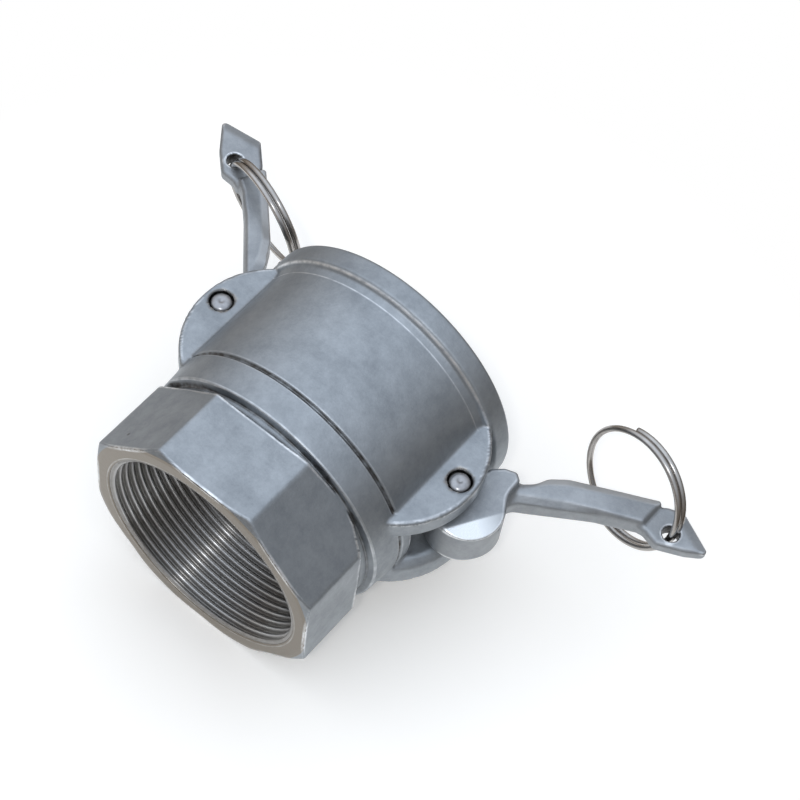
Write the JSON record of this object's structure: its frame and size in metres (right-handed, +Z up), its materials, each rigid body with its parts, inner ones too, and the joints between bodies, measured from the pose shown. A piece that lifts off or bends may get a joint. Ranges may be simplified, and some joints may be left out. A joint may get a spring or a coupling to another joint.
{
  "type": "cam and groove coupler",
  "caption": "Stainless steel cam and groove coupler: a round socket with two hinged cam arms, pull rings and a seal, on an octagonal internally threaded end.",
  "frame": {"origin": "under the middle of the bounding box, on the ground plane that the lip of the socket touches", "axes": "+Y along the bore from the threaded mouth to the open socket, +X towards the right cam arm, +Z up along the hinge pins"},
  "size_m": [0.1828, 0.108, 0.08],
  "materials": {
    "cast_steel": "investment-cast stainless steel, bead-blasted, with machined faces and thread",
    "bright_steel": "drawn stainless steel pin with a domed end",
    "spring_steel": "polished stainless steel spring wire",
    "rubber": "moulded black rubber"
  },
  "bodies": {
    "housing": {"housing": "cast_steel", "right_hinge_pin": "bright_steel", "left_hinge_pin": "bright_steel", "gasket": "rubber"},
    "right_arm": {"right_cam_arm": "cast_steel"},
    "left_arm": {"left_cam_arm": "cast_steel"},
    "right_ring": {"right_pull_ring": "spring_steel"},
    "left_ring": {"left_pull_ring": "spring_steel"}
  },
  "joints": [
    {"name": "right_arm_hinge", "type": "hinge", "parent": "housing", "child": "right_arm", "pos_m": [0.0346, -0.00113, 0.04], "axis": [0, 0, 1], "range_deg": [-123.9, 17]},
    {"name": "left_arm_hinge", "type": "hinge", "parent": "housing", "child": "left_arm", "pos_m": [-0.0454, -0.00113, 0.04], "axis": [0, 0, 1], "range_deg": [0, 142.4]},
    {"name": "right_ring_swing", "type": "hinge", "parent": "right_arm", "child": "right_ring", "pos_m": [0.08141, 0.03032, 0.04], "axis": [0, 0, 1], "range_deg": [-190, 18]},
    {"name": "left_ring_swing", "type": "hinge", "parent": "left_arm", "child": "left_ring", "pos_m": [-0.07981, 0.04355, 0.04], "axis": [0, 0, 1], "range_deg": [-5, 220]}
  ]
}
